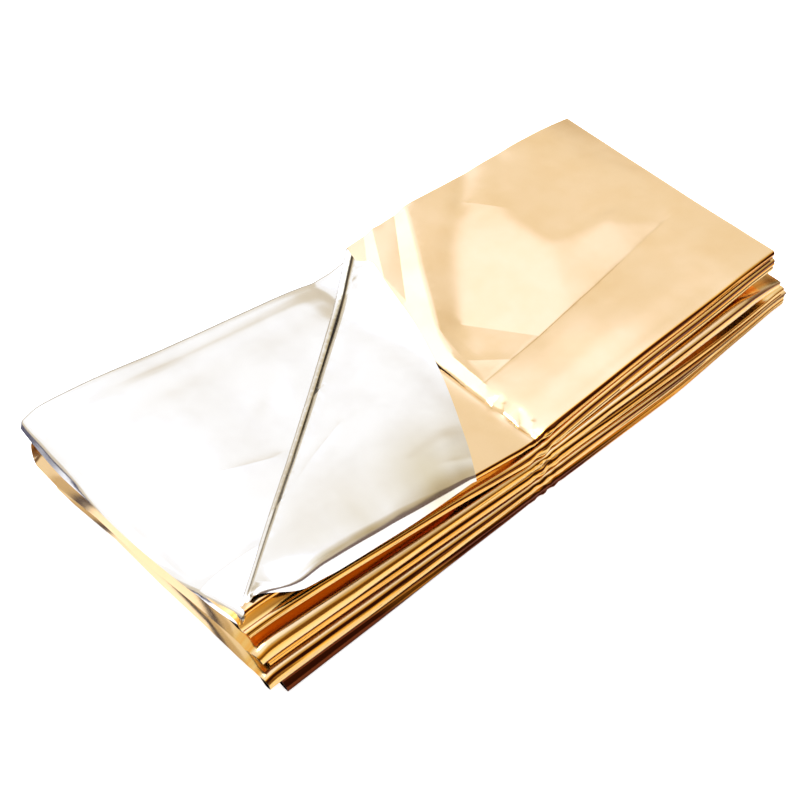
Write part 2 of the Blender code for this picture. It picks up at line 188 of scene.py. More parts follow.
# The flat facets between the crease and the middle of the gold half: their corners, the lines that come out
# crisp, and the sides along which they merge into the film beyond, with the width of that.
pleats = {
    "points": {
        "a0": (103.6, -4, 20.81), "a1": (103.7, 14, 21.26), "a2": (103.9, 29.5, 22.03),
        "a3": (104, 46, 23), "a4": (103.6, 66, 23.49), "a5": (104, 84, 25.92), "a6": (106, 98.5, 27.84),
        "q1": (117, 98.5, 30.03), "pb": (124.6, 98.5, 30.65), "pc": (115.6, 87, 28.39),
        "fa": (128.3, 98.5, 31.75), "fd": (116.4, 80.2, 28.61), "ft": (115.4, 69, 26.31),
        "fb": (138.4, 98.5, 31.83), "b0": (143.4, 98.5, 33.3), "b1": (130.2, 78.4, 30.13),
        "b2": (117.3, 58.7, 26.86), "b3": (112.4, 50.8, 25.43), "b4": (109, 41, 24.18),
        "c0": (163, 98.5, 32.22), "ct": (161, 88, 30.73), "c1": (142.4, 73, 28.31),
        "c2": (127.5, 56, 25.47), "m1": (122, 49.5, 24.09), "c3": (112, 38.4, 23.49),
        "s1": (190, 98.5, 31.88), "k1": (171, 73, 30.52), "k2": (170.6, 59.5, 29.46),
        "k3": (176, 53.5, 28.94), "k4": (193, 54, 29.86), "k5": (199, 47.5, 29.14),
        "l3": (206.3, 37.3, 27.82), "l2": (178.4, 34.3, 26.21), "l1": (150, 31.4, 24.79),
        "m2": (135.7, 30.1, 23.58), "r1": (108.4, 27.6, 23.12), "r2": (107.9, 18.8, 22.54),
        "r3": (108.5, 9.3, 22.35), "r4": (109, -4, 22.16),
    },
    "faces": (
        "a0 r4 r3", "a0 r3 a1", "a1 r3 r2", "a1 r2 a2", "a2 r2 r1", "a2 r1 b4", "a2 b4 a3", "a3 b4 b3",
        "a3 b3 b2", "a3 b2 ft", "a3 ft a4", "a4 ft fd", "a4 fd a5", "a5 fd pc", "a5 pc q1", "a5 q1 a6",
        "q1 pc pb", "pc fd fa", "pc fa pb", "fd ft fb", "fd fb fa", "ft b2 b1", "ft b1 fb", "fb b1 b0",
        "b0 b1 ct", "b0 ct c0", "b1 c1 ct", "b1 c2 c1", "b1 b2 c2", "b2 b3 m1", "b2 m1 c2", "b3 b4 c3",
        "b3 c3 m1", "b4 r1 c3", "c0 ct s1", "ct k1 s1", "ct c1 k1", "c1 k2 k1", "c1 c2 k2", "c2 l1 k2",
        "c2 m1 m2", "c2 m2 l1", "l1 l2 k2", "l2 k3 k2", "l2 k4 k3", "l2 k5 k4", "l2 l3 k5", "m1 c3 m2",
        "c3 r1 m2",
    ),
    "crisp": (
        "a0 a1", "a1 a2", "a2 a3", "pc pb", "fd fa", "fd ft", "ft fb", "b4 r1", "ct k1", "m1 m2", "r1 m2",
        "m2 l1", "l1 l2", "l2 l3",
    ),
    "round": ("b0 b1", "b1 b2", "b2 b3", "b3 b4"),  # lines that come out a little rounded
    "roundCuts": (-1.1, -0.55, 0, 0.55, 1.1),
    "roundBlur": 0.9,
    # creases pressed in as fine lines, with their depth
    "grooves": (
        ("a0 a1", 0.27), ("a1 a2", 0.27), ("a2 a3", 0.27), ("r1 m2", 0.12), ("m2 l1", 0.13), ("l1 l2", 0.12),
        ("l2 l3", 0.07),
    ),
    "grooveWidth": 0.4,  # from its middle to each side
    "soft": (
        ("r1", "r2", 1.2), ("r2", "r3", 1.2), ("r3", "r4", 1.2), ("s1", "k1", 8), ("k1", "k2", 3),
        ("k2", "k3", 5), ("k3", "k4", 4), ("k4", "k5", 4), ("k5", "l3", 4), ("c0", "s1", 0.1),
    ),
    "valley": ("r1", "m2", "l1", "l2", "l3"),  # the long crease, and how far the film beside it dips
    "valleyWidth": 12.0,
    "valleyFrom": (104.0, 4.0),  # where its dip starts along X, and over what length
    "valleyTo": (226.0, 20.0),
    "blur": 2.3,
}

# How far the left edges of some layers bend down, from the front to the back, and over what width. Their
# numbers count from 0 at the bottom.
droopY = (0, 8, 22, 40, 62, 80, 100)
droops = {
    10: {"depth": (0.3, 0.3, 0.5, 0.3, 0.2, 0.1, 0), "width": 3.6},
    7: {"depth": (1.4, 2.6, 5.2, 6.0, 5.0, 2.4, 1.2), "width": 5.0},
    3: {"depth": (1.0, 2.0, 3.4, 4.0, 3.6, 1.8, 1.0), "width": 4.0},
}

# How wide a strip of the silver layer's left edge is bent down, at the same places, and how steeply.
edgeBend = {"width": (1.6, 1.5, 0.5, 0.1, 0.5, 1.6, 1.2), "slope": 1.6}

# Behind the front-left corner the packet's left end is packed tight: how far the layers lie below layer
# eleven there, from the bottom, over what width up to what X, and between what places from front to back.
leftEnd = {
    "below": (31.0, 27.5, 22.0, 17.2, 14.2, 10.4, 6.4, 2.7, 1.8, 0.9),
    "width": 22.0,
    "reach": 16.0,
    "from": (1.0, 24.0),
    "to": (58.0, 88.0),
}

film = {
    "thickness": 0.14,
    "sag": 0.35,  # slow waves of the hidden layers
    "wave": 34.0,
    "ends": (0, 0.35, 0.7, 1.05, 1.5, 2.1, 3.0, 4.2, 5.6, 7.2),  # columns of the grid, in from each end
    # the same for the turned corner, as shares of the way to its bend
    "lip": (0.0, 0.4, 0.74, 0.9, 0.98, 1.08, 1.22, 1.38, 1.6),
    "columns": (5.0, 206.0),  # where the even columns start and stop
    "column": 2.55,
    "creaseColumn": 1.2,
    "creaseZone": (93.0, 116.0),
    "noseRows": 29,
    "backRows": 8,
    "hiddenRows": (0, 0.8, 2.2, 4.5, 10, 24, 45, 66, 86, 95),
    "silverRows": 50,
    "goldRows": 70,
    "curlCuts": (0, 0.17, 0.22, 0.27, 0.31, 0.36, 0.57, 0.6, 0.66, 0.69, 0.8, 0.91, 0.96),
    "curlSnap": 0.03,
    "snap": 0.12,
    "sharpAngle": 62.0,  # degrees, past which an edge is drawn sharp
}

layerLength = packet["layerRun"] + packet["foldRun"]
topLayer = packet["layers"] - 1
foldFrom = np.array(flap["foldFrom"])
alongFold = (np.array(flap["foldTo"]) - foldFrom) / np.linalg.norm(np.array(flap["foldTo"]) - foldFrom)
awayFold = np.array((-alongFold[1], alongFold[0]))


# A smooth curve through the values, which never swings past them.
def curve(keys, values, at):
    keys, values = np.asarray(keys, float), np.asarray(values, float)
    step = np.diff(keys)
    rise = np.diff(values) / step
    slope = np.concatenate([rise[:1], np.zeros(len(keys) - 2), rise[-1:]])
    both = rise[:-1] * rise[1:]
    total = np.where(both > 0, rise[:-1] + rise[1:], 1.0)
    slope[1:-1] = np.where(both > 0, 2 * both / total, 0.0)
    at = np.clip(at, keys[0], keys[-1])
    i = np.clip(np.searchsorted(keys, at, side="right") - 1, 0, len(keys) - 2)
    t = (at - keys[i]) / step[i]
    return (
        values[i] * (1 + 2 * t) * (1 - t) ** 2
        + slope[i] * step[i] * t * (1 - t) ** 2
        + values[i + 1] * t**2 * (3 - 2 * t)
        + slope[i + 1] * step[i] * t**2 * (t - 1)
    )


def throughThree(front, middle, back, share):
    ends = front * (2 * share - 1) * (share - 1), back * share * (2 * share - 1)
    return ends[0] + middle * 4 * share * (1 - share) + ends[1]


# Heights of the middles of all the layers, one row for each.
def layerHeights(x, y):
    share = np.clip(y / packet["depth"], 0, 1)
    profile = packet["profile"]
    front, middle, back, liftFront, liftBack = (
        curve(profile["x"], profile[name], x) for name in ("front", "middle", "back", "liftFront", "liftBack")
    )
    eleventh = throughThree(front, middle, back, share)
    extra = []
    for row in packet["gaps"]:
        atFront = curve(packet["stations"], row[:5], x)
        flared = packet["flare"] * row[5] + (1 - packet["flare"]) * row[6]
        atBack = curve(packet["backStations"], (row[5], flared, row[6], row[7]), x)
        extra.append(atFront * (1 - share) + atBack * share - packet["leastPitch"])
    extra = np.array(extra)
    loose = eleventh - packet["sole"] - packet["leastPitch"] * len(extra)
    steps = packet["leastPitch"] + loose * extra / extra.sum(axis=0)
    heights = np.vstack([np.full_like(eleventh, packet["sole"]), packet["sole"] + np.cumsum(steps, axis=0)])
    heights = np.vstack([heights, eleventh + liftFront * (1 - share) + liftBack * share])
    return closedSlots(heights, x, y)


def smoothStep(t):
    t = np.clip(t, 0, 1)
    return t * t * (3 - 2 * t)


# Behind the front, the layers of neighbouring folds lie close against each other.
def closedSlots(heights, x, y):
    reach = smoothStep((packet["closeEnd"] - y) / packet["closeFade"])
    into = smoothStep((y - packet["closeFrom"]) / packet["closeDepth"])
    for pair, mouth in enumerate(packet["mouth"]):
        lower = 2 * pair + 1
        gap = heights[lower + 1] - heights[lower]
        narrow = smoothStep((2.5 - gap) / 0.7)
        wide = into * smoothStep((mouth - x) / packet["mouthFade"])
        shut = np.maximum(narrow, wide) * reach * np.maximum(0, gap - packet["slot"])
        raised = 1.0 if lower == topLayer - 2 else 0.5
        heights[lower] += shut * raised
        heights[lower + 1] -= shut * (1 - raised)
    share = smoothStep((leftEnd["reach"] - x) / leftEnd["width"])
    share *= smoothStep((y - leftEnd["from"][0]) / (leftEnd["from"][1] - leftEnd["from"][0]))
    share *= 1 - smoothStep((y - leftEnd["to"][0]) / (leftEnd["to"][1] - leftEnd["to"][0]))
    for layer, below in enumerate(leftEnd["below"]):
        target = np.maximum(heights[topLayer - 1] - below, packet["sole"])
        heights[layer] += (target - heights[layer]) * share
    return heights


def creaseRelief(rows, x, y):
    height = np.zeros_like(x)
    for fromX, fromY, toX, toY, rise, width, sharp in rows:
        run = np.array((toX - fromX, toY - fromY), float)
        length = np.linalg.norm(run)
        run /= length
        along = (x - fromX) * run[0] + (y - fromY) * run[1]
        off = (x - fromX) * run[1] - (y - fromY) * run[0]
        past = np.maximum(0, np.maximum(-along, along - length)) / (1.6 * width)
        edge = 0.25
        fall = (np.sqrt(off**2 + edge**2) - edge) / width if sharp else (off / width) ** 2
        height += rise * np.exp(-fall - past**2)
    return height


def distanceTo(first, last, x, y):
    run = np.array(last[:2]) - np.array(first[:2])
    along = np.clip(((x - first[0]) * run[0] + (y - first[1]) * run[1]) / (run @ run), 0, 1)
    return np.hypot(x - first[0] - along * run[0], y - first[1] - along * run[1])


# Heights of the top layer's middle with its facets.
def facetHeights(x, y):
    points = pleats["points"]
    lineX, lineY, lineZ = zip(*(points[name] for name in pleats["valley"]))
    lineAt = np.interp(x, lineX, lineY)
    drop = np.interp(x, lineX, lineZ) - layerHeights(x, lineAt)[topLayer]
    (low, lowFade), (high, highFade) = pleats["valleyFrom"], pleats["valleyTo"]
    fade = np.clip((x - low) / lowFade, 0, 1) * np.clip((high - x) / highFade, 0, 1)
    outer = layerHeights(x, y)[topLayer] + drop * fade * np.exp(-np.abs(y - lineAt) / pleats["valleyWidth"])
    height = outer.copy()
    for face in pleats["faces"]:
        a, b, c = (points[name] for name in face.split())
        whole = (b[0] - a[0]) * (c[1] - a[1]) - (c[0] - a[0]) * (b[1] - a[1])
        toB = ((x - a[0]) * (c[1] - a[1]) - (c[0] - a[0]) * (y - a[1])) / whole
        toC = ((b[0] - a[0]) * (y - a[1]) - (x - a[0]) * (b[1] - a[1])) / whole
        inside = (toB > -1e-7) & (toC > -1e-7) & (toB + toC < 1 + 1e-7)
        height[inside] = (a[2] + (b[2] - a[2]) * toB + (c[2] - a[2]) * toC)[inside]
    share = np.ones_like(x)
    for first, last, width in pleats["soft"]:
        share = np.minimum(share, smoothStep(distanceTo(points[first], points[last], x, y) / width))
    return outer + (height - outer) * share


def distanceToLines(lines, x, y):
    near = np.full_like(x, 99.0)
    for line in lines:
        first, last = (pleats["points"][name] for name in line.split())
        near = np.minimum(near, distanceTo(first, last, x, y))
    return near


# The same, with all but the crisp lines rounded off.
def topHeights(x, y):
    radius = pleats["blur"] * smoothStep((distanceToLines(pleats["crisp"], x, y) - 1.5) / 2.0)
    rounded = smoothStep((distanceToLines(pleats["round"], x, y) - 1.0) / 3.0)
    radius = np.minimum(radius, pleats["roundBlur"] + (pleats["blur"] - pleats["roundBlur"]) * rounded)
    total = facetHeights(x, y)
    for turn in np.arange(8) * np.pi / 4:
        total += facetHeights(x + radius * np.cos(turn), y + radius * np.sin(turn))
    groove = np.zeros_like(x)
    for line, depth in pleats["grooves"]:
        off = distanceToLines((line,), x, y)
        groove = np.maximum(groove, depth * np.clip(1 - off / pleats["grooveWidth"], 0, 1))
    return total / 9 - groove


# Slow waves that keep the hidden layers from lying dead flat.
def layerWaves(layer, x, y):
    turn = 1.7 * layer
    wave = film["wave"]
    across = np.sin(x / wave * 2.1 + turn) * np.sin(y / wave * 1.3 + 2.3 * turn)
    aslant = 0.6 * np.sin((x + y) / wave * 3.3 + turn)
    return film["sag"] * 0.25 * (across + aslant)


def layerEdges(layer, x):
    front = curve(packet["stations"], packet["frontFolds"][layer // 2], x)
    if layer in (0, topLayer):
        return front, np.full_like(x, packet["backLine"])
    return front, curve(packet["stations"], packet["backFolds"][(layer - 1) // 2], x)


def onLayer(layer, x, across):
    front, back = layerEdges(layer, x)
    y = front + (back - front) * across
    z = layerHeights(x, y)[layer]
    inward = np.clip(np.minimum(across, 1 - across) * 12, 0, 1)
    if layer == topLayer:
        rise = topHeights(x, y) - z + creaseRelief(creases["gold"], x, y)
        z = z + rise * np.clip((y - front) / 4, 0.4, 1)
    elif layer == topLayer - 1:
        z = z + creaseRelief(creases["silver"], x, y) * inward * np.clip((112 - x) / 12, 0, 1)
        bent = curve(droopY, edgeBend["width"], y) - (x - filmEnds(layer, across)[0])
        z = z - edgeBend["slope"] * np.maximum(0, bent)
    elif layer > 0:
        z = z + layerWaves(layer, x, y) * inward
    if layer in droops:
        fromEnd = x - filmEnds(layer, across)[0]
        depth = curve(droopY, droops[layer]["depth"], y)
        z = z - depth * np.clip(1 - fromEnd / droops[layer]["width"], 0, 1) ** 2
    return np.stack([x, y, z], axis=1)


def triangleWave(u):
    return 4 * np.abs(u - np.floor(u + 0.5)) - 1


# Valleys and streaks along a front fold, and the crumpled facets where the packet was folded in half.
def noseRelief(nose, x, share, height):
    dice = np.random.default_rng(noses["seed"] + nose)
    fade = np.clip(np.minimum(share, 1 - share) * height / 0.5, 0, 1)
    relief = np.zeros_like(x)
    for row in valleys:
        if row[0] == nose:
            at = curve(noses["stations"], row[1:4], x) + 0.02 * np.sin(x / 23 + row[1] * 40)
            depth = curve(noses["stations"][::2], row[4:], x)
            off = (share - at) * height
            relief -= depth * np.exp(-(np.sqrt(off**2 + 0.01) - 0.1) / 0.3)
    for count, length in zip(noses["streakCount"], noses["streakLength"]):
        drift = dice.uniform(0.2, 0.5) * np.sin(x / length * 2 * np.pi + dice.uniform(0, 6.3))
        relief += noses["streakDepth"] * triangleWave(share * count + drift + dice.uniform(0, 1))
    crush = np.zeros_like(x)
    for _ in range(3):
        tilt, pitch = dice.uniform(-3.0, 3.0), dice.uniform(3.5, 9.0)
        crush += triangleWave((x + tilt * share * height) / pitch + dice.uniform(0, 1)) / 2
    near = np.exp(-(((x - packet["crease"] - 1.5) / noses["crushSpread"]) ** 2))
    return fade * (relief + noses["crushDepth"] * crush * near)


def onFold(lower, x, turn):
    atFront = lower % 2 == 0
    across = np.full_like(x, 0.0 if atFront else 1.0)
    start, end = onLayer(lower, x, across), onLayer(lower + 1, x, across)
    half = (end[:, 2] - start[:, 2]) / 2
    angle = np.pi * turn
    z = start[:, 2] + half * (1 - np.cos(angle))
    y = start[:, 1] + (end[:, 1] - start[:, 1]) * turn
    if not atFront:
        return np.stack([x, y + np.minimum(half, 1.8) * np.sin(angle), z], axis=1)
    nose = lower // 2
    square = noses["square"][nose]
    square = curve(noses["stations"], (square, square, noses["squareRight"]), x)
    bulge = (1 - np.abs(np.cos(angle)) ** square) ** (1 / square)
    out = np.minimum(1.3 * half, noses["out"][nose]) * bulge
    feet = [noses[name][nose] for name in ("footLeft", "footCrease", "footRight")]
    foot = curve(noses["stations"], feet, x)
    share = (z - start[:, 2]) / np.maximum(2 * half, 0.1)
    out += foot * (0.5 - share) * bulge * np.clip(half / 2.2, 0, 1)
    out += noseRelief(nose, x, share, 2 * half) * np.clip(half / 1.2, 0, 1)
    return np.stack([x, y - np.maximum(out, -0.6), z], axis=1)


# The curl's cross-section for one unit of flat length: how far out and how far up the film has gone.
def curlProfile():
    share = np.linspace(0, 1, 241)
    turn = np.radians(np.interp(share, flap["curlShare"], flap["curlTurn"]))
    kernel = np.ones(5) / 5
    turn = np.convolve(np.pad(turn, 2, mode="edge"), kernel, mode="valid")
    step = share[1] - share[0]
    return share, np.cumsum(np.cos(turn)) * step, np.cumsum(np.sin(turn)) * step


def stripDepth(y):
    return curve(flap["stripY"], flap["strip"], y)


# How far the turned film reaches from its fold, to the back of its layer or to the bent strip.
def filmLimit(along):
    toBack = (packet["layerRun"] - foldFrom[1] - along * alongFold[1]) / awayFold[1]
    toBend = np.zeros_like(along)
    for _ in range(12):
        bendX = stripDepth(foldFrom[1] + along * alongFold[1] + toBend * awayFold[1])
        toBend = (bendX - along * alongFold[0]) / awayFold[0]
    return -1.2 * np.logaddexp(-toBack / 1.2, -toBend / 1.2)


def onFlap(along, distance):
    footX = foldFrom[0] + alongFold[0] * along
    base = onLayer(topLayer, footX, (foldFrom[1] + alongFold[1] * along) / packet["layerRun"])
    radius = flap["radius"][0] + (flap["radius"][1] - flap["radius"][0]) * along / flap["foldLength"]
    rolled = np.pi * radius
    share, outs, ups = curlProfile()
    turned = np.clip(distance / rolled, 0, 1)
    out, up = np.interp(turned, share, outs) * rolled, np.interp(turned, share, ups) * rolled
    point = base + np.stack([awayFold[0] * out, awayFold[1] * out, up], axis=1)
    past = np.clip((distance - rolled) / np.maximum(0.5, filmLimit(along) - rolled), 0, 1.6)
    edge = flap["edge"]
    reach, slide, lift = (curve(edge["along"], edge[name], along) for name in ("reach", "slide", "lift"))
    shift = alongFold * slide[:, None] - awayFold * reach[:, None]
    flat = base[:, :2] + awayFold * (outs[-1] * rolled * (1 - past))[:, None] + shift * past[:, None]
    height = ups[-1] * rolled * (1 - past) + lift * past
    height += flap["crown"] * np.sin(np.pi * past) * np.sin(np.pi * np.clip(along / 155, 0, 1))
    under = layerHeights(flat[:, 0], flat[:, 1])[topLayer]
    over = distance >= rolled
    point[over] = np.stack([flat[:, 0], flat[:, 1], under + height], axis=1)[over]
    return point


def onTopLayer(x, y):
    flatX, flatY = x - foldFrom[0], y - foldFrom[1]
    away = flatX * awayFold[0] + flatY * awayFold[1]
    turned = away > 0
    points = onLayer(topLayer, x, y / packet["layerRun"])
    tx, ty = flatX[turned], flatY[turned]
    bend = stripDepth(y[turned]) - flap["stripFlat"] - tx
    beyond = flap["lipRound"] * np.logaddexp(0, bend / flap["lipRound"]) * np.clip(y[turned] / 6, 0, 1)
    shifted = tx + beyond
    placed = onFlap(shifted * alongFold[0] + ty * alongFold[1], shifted * awayFold[0] + ty * awayFold[1])
    placed[:, 1] -= flap["stripLean"] * beyond
    before = flap["lipRound"] * np.logaddexp(0, (bend + flap["preBend"]) / flap["lipRound"])
    placed[:, 2] -= flap["preSlope"] * (before - beyond) * np.clip(y[turned] / 6, 0, 1)
    relief = creaseRelief(creases["flap"], x[turned], y[turned]) * np.clip(away[turned] / 12, 0, 1)
    placed[:, 2] -= beyond - relief
    points[turned] = placed
    return points


def placeFilm(x, path):
    layers = np.minimum(topLayer, (path // layerLength).astype(int))
    run = path - layers * layerLength
    points = np.zeros((len(x), 3))
    for layer in range(packet["layers"]):
        flat = (layers == layer) & (run <= packet["layerRun"] + 1e-6)
        across = run[flat] / packet["layerRun"]
        if layer == topLayer:
            points[flat] = onTopLayer(x[flat], run[flat])
        else:
            points[flat] = onLayer(layer, x[flat], across if layer % 2 else 1 - across)
        fold = (layers == layer) & ~flat
        if fold.any():
            points[fold] = onFold(layer, x[fold], (run[fold] - packet["layerRun"]) / packet["foldRun"])
    return points


def filmRows():
    rows = []
    for layer in range(packet["layers"]):
        start = layer * layerLength
        run = packet["layerRun"]
        if layer == topLayer:
            lines = np.linspace(0, run, film["goldRows"])
        elif layer == topLayer - 1:
            lines = np.linspace(0, run, film["silverRows"])
        else:
            lines = np.array(film["hiddenRows"])
            lines = lines if layer % 2 else run - lines[::-1]
        rows += list(start + lines)
        if layer < topLayer:
            count = film["noseRows"] if layer % 2 == 0 else film["backRows"]
            rows += [start + run + packet["foldRun"] * i / count for i in range(1, count)]
    return np.array(rows)


def filmEnds(layer, across):
    row = packet["ends"][layer]
    return throughThree(row[0], row[1], row[2], across), row[3] * (1 - across) + row[4] * across


def bandEnds(path):
    layer = min(topLayer, int(path // layerLength))
    run = path - layer * layerLength
    across = min(1.0, run / packet["layerRun"])
    across = across if layer % 2 else 1 - across
    left, right = filmEnds(layer, across)
    if run > packet["layerRun"]:
        turn = (run - packet["layerRun"]) / packet["foldRun"]
        nextLeft, nextRight = filmEnds(layer + 1, across)
        left, right = left + (nextLeft - left) * turn, right + (nextRight - right) * turn
    return left, right


# Columns between the ends: close together at the ends and at the crease.
def filmColumns():
    low, high = film["columns"]
    zoneLow, zoneHigh = film["creaseZone"]
    parts = (
        np.arange(low, zoneLow, film["column"]),
        np.arange(zoneLow, zoneHigh, film["creaseColumn"]),
        np.arange(zoneHigh, high, film["column"]),
    )
    return np.concatenate(parts)


def flatBand():
    mesh = bmesh.new()
    columns = filmColumns()
    ends = np.array(film["ends"])
    lines = []
    for path in filmRows():
        left, right = bandEnds(path)
        leftGap, rightGap = (columns[0] - left) / ends[-1], (right - columns[-1]) / ends[-1]
        starts = left + ends[:-1] * leftGap
        run = path - topLayer * layerLength
        bend = float(stripDepth(run)) - flap["stripFlat"]
        if run > 0:
            atLip = smoothStep((bend - 0.2) / 1.2)
            starts = starts * (1 - atLip) + (left + np.array(film["lip"]) * bend) * atLip
        line = [*starts, *columns, *(right - ends[-2::-1] * rightGap)]
        lines.append([mesh.verts.new((x, path, 0.0)) for x in line])
    for low, high in zip(lines, lines[1:]):
        for i in range(len(low) - 1):
            mesh.faces.new((low[i], low[i + 1], high[i + 1], high[i]))
    return mesh


# Rows of points along the turned corner's fold and round its curl.
def cutCurl(mesh):
    start = topLayer * layerLength
    foldTo = np.array(flap["foldTo"])
    for cut in film["curlCuts"]:
        turn = math.pi * cut
        first = foldFrom + awayFold * turn * flap["radius"][0]
        last = foldTo + awayFold * turn * flap["radius"][1]
        faces = [f for f in mesh.faces if f.calc_center_median().y > start]
        parts = faces + list({e for f in faces for e in f.edges}) + list({v for f in faces for v in f.verts})
        bmesh.ops.bisect_plane(
            mesh, geom=parts, dist=film["curlSnap"], plane_co=(first[0], first[1] + start, 0),
            plane_no=(first[1] - last[1], last[0] - first[0], 0),
        )


# Cuts the flat film along the sharp creases and the facets' crisp lines.
def cutCreases(mesh):
    lines = [("gold", row[:4]) for row in creases["gold"] if row[6]]
    lines += [(name, row[:4]) for name in ("flap", "silver") for row in creases[name] if row[6]]
    lines = [(name, line, True) for name, line in lines]
    for line in pleats["crisp"]:
        first, last = (pleats["points"][name][:2] for name in line.split())
        lines.append(("gold", (*first, *last), True))
    sides = [(line, off) for line in pleats["round"] for off in pleats["roundCuts"]]
    sides += [(line, off * pleats["grooveWidth"]) for line, _ in pleats["grooves"] for off in (-1, 1)]
    for line, off in sides:
        first, last = (np.array(pleats["points"][name][:2]) for name in line.split())
        run = (last - first) / np.linalg.norm(last - first)
        beside = off * np.array((run[1], -run[0]))
        lines.append(("gold", (*(first + beside), *(last + beside)), False))
    for name, line, crisp in lines:
        layer = topLayer - 1 if name == "silver" else topLayer
        xs, ys = np.array(line[0::2], float), np.array(line[1::2], float)
        front, back = layerEdges(layer, xs)
        run = ys if name == "flap" else (ys - front) / (back - front) * packet["layerRun"]
        run = run if layer % 2 else packet["layerRun"] - run
        cutLine(mesh, (xs[0], layer * layerLength + run[0]), (xs[1], layer * layerLength + run[1]), crisp)


def cutLine(mesh, first, last, crisp):
    first, last = np.array(first), np.array(last)
    length = np.linalg.norm(last - first)
    way = (last - first) / length
    faces = [f for f in mesh.faces if abs(f.calc_center_median().y - (first[1] + last[1]) / 2) < 60]
    middles = np.array([f.calc_center_median()[:2] for f in faces]) - first
    along, off = middles @ way, middles[:, 0] * way[1] - middles[:, 1] * way[0]
    near = (np.abs(off) < 3) & (along > -1.5) & (along < length + 1.5)
    faces = [face for face, close in zip(faces, near) if close]
    parts = faces + list({e for f in faces for e in f.edges}) + list({v for f in faces for v in f.verts})
    made = bmesh.ops.bisect_plane(
        mesh, geom=parts, dist=film["snap"], plane_co=(*first, 0), plane_no=(way[1], -way[0], 0)
    )
    for part in made["geom_cut"]:
        if crisp and isinstance(part, bmesh.types.BMEdge):
            part.smooth = False


# A maker of math nodes for one tree: each socket takes a number or another node's output.
def mathsIn(tree):
    def maths(kind, a, b):
        part = tree.nodes.new("ShaderNodeMath")
        part.operation = kind
        for socket, value in zip(part.inputs, (a, b)):
            if hasattr(value, "is_output"):
                tree.links.new(value, socket)
            else:
                socket.default_value = value
        return part.outputs[0]

    return maths


crinkle = {"relief": 0.05 * mm, "size": 9.0 * mm, "facets": 0.035 * mm, "facetSize": 6.0 * mm, "seed": 4.0}


# Small uneven crinkles, along the film's own normals and in the film's own flat sizes.
def crinkleTree(finishAndShade):
    tree = bpy.data.node_groups.new("crinkleFilm", "GeometryNodeTree")
    face = tree.interface
    face.new_socket("Film", in_out="INPUT", socket_type="NodeSocketGeometry")
    for name in ("Relief", "Size", "Facets", "Facet Size", "Seed"):
        face.new_socket(name, in_out="INPUT", socket_type="NodeSocketFloat")
    face.new_socket("Finish", in_out="INPUT", socket_type="NodeSocketMaterial")
    face.new_socket("Film", in_out="OUTPUT", socket_type="NodeSocketGeometry")
    node, link = tree.nodes.new, tree.links.new
    given, made = node("NodeGroupInput"), node("NodeGroupOutput")
    flat, slack = node("GeometryNodeInputNamedAttribute"), node("GeometryNodeInputNamedAttribute")
    flat.data_type, flat.inputs["Name"].default_value = "FLOAT_VECTOR", "flat"
    slack.data_type, slack.inputs["Name"].default_value = "FLOAT", "slack"
    maths = mathsIn(tree)

    waves = node("ShaderNodeTexNoise")
    waves.noise_dimensions = "4D"
    waves.inputs["Detail"].default_value = 3.0
    waves.inputs["Roughness"].default_value = 0.55
    link(flat.outputs["Attribute"], waves.inputs["Vector"])
    link(maths("DIVIDE", 1.0, given.outputs["Size"]), waves.inputs["Scale"])
    link(given.outputs["Seed"], waves.inputs["W"])
    cells = node("ShaderNodeTexVoronoi")
    cells.voronoi_dimensions = "4D"
    link(flat.outputs["Attribute"], cells.inputs["Vector"])
    link(maths("DIVIDE", 1.0, given.outputs["Facet Size"]), cells.inputs["Scale"])
    link(given.outputs["Seed"], cells.inputs["W"])
    wave = maths("MULTIPLY", maths("SUBTRACT", waves.outputs[0], 0.5), given.outputs["Relief"])
    facet = maths("MULTIPLY", maths("SUBTRACT", cells.outputs["Distance"], 0.4), given.outputs["Facets"])
    amount = maths("MULTIPLY", maths("ADD", maths("MULTIPLY", wave, 2.0), facet), slack.outputs["Attribute"])
    push = node("ShaderNodeVectorMath")
    push.operation = "SCALE"
    link(node("GeometryNodeInputNormal").outputs["Normal"], push.inputs[0])
    link(amount, push.inputs["Scale"])
    move = node("GeometryNodeSetPosition")
    link(given.outputs["Film"], move.inputs["Geometry"])
    link(push.outputs["Vector"], move.inputs["Offset"])
    real, paint = node("GeometryNodeRealizeInstances"), node("GeometryNodeSetMaterial")
    link(move.outputs["Geometry"], real.inputs["Geometry"])
    link(real.outputs["Geometry"], paint.inputs["Geometry"])
    link(given.outputs["Finish"], paint.inputs["Material"])
    link(paint.outputs["Geometry"], made.inputs["Film"])
    values = {
        "Relief": crinkle["relief"], "Size": crinkle["size"], "Facets": crinkle["facets"],
        "Facet Size": crinkle["facetSize"], "Seed": crinkle["seed"], "Finish": finishAndShade,
    }
    return tree, values


finishesAndPaintedShades = {
    "goldColour": (0.872, 0.64, 0.37),
    "goldDeep": (0.845, 0.60, 0.32),
    # painted reflection and painted shade on the gold: a warm tint, orange in the folds and dark brown in the
    # recesses
    "goldPaintedTint": (0.80, 0.52, 0.17),
    "goldPaintedFoldShade": (0.80, 0.33, 0.02),
    "goldPaintedRecessShade": (0.11, 0.02, 0.001),
    "silverColour": (0.96, 0.965, 0.97),
    "silverDeep": (0.90, 0.895, 0.885),
    # painted shade and painted reflection on the silver: grey-tan shade, a tan lip, and a near-black shadow
    # line
    "silverPaintedShadeAndSheen": (0.70, 0.63, 0.46),
    "silverPaintedFoldShadow": (0.10, 0.085, 0.07),
    "roughness": 0.16,
    "coat": 0.12,
    "coatRoughness": 0.12,
    "goldLines": 0.8,  # pitch of the fine lines
    "silverLines": 6.0,
}
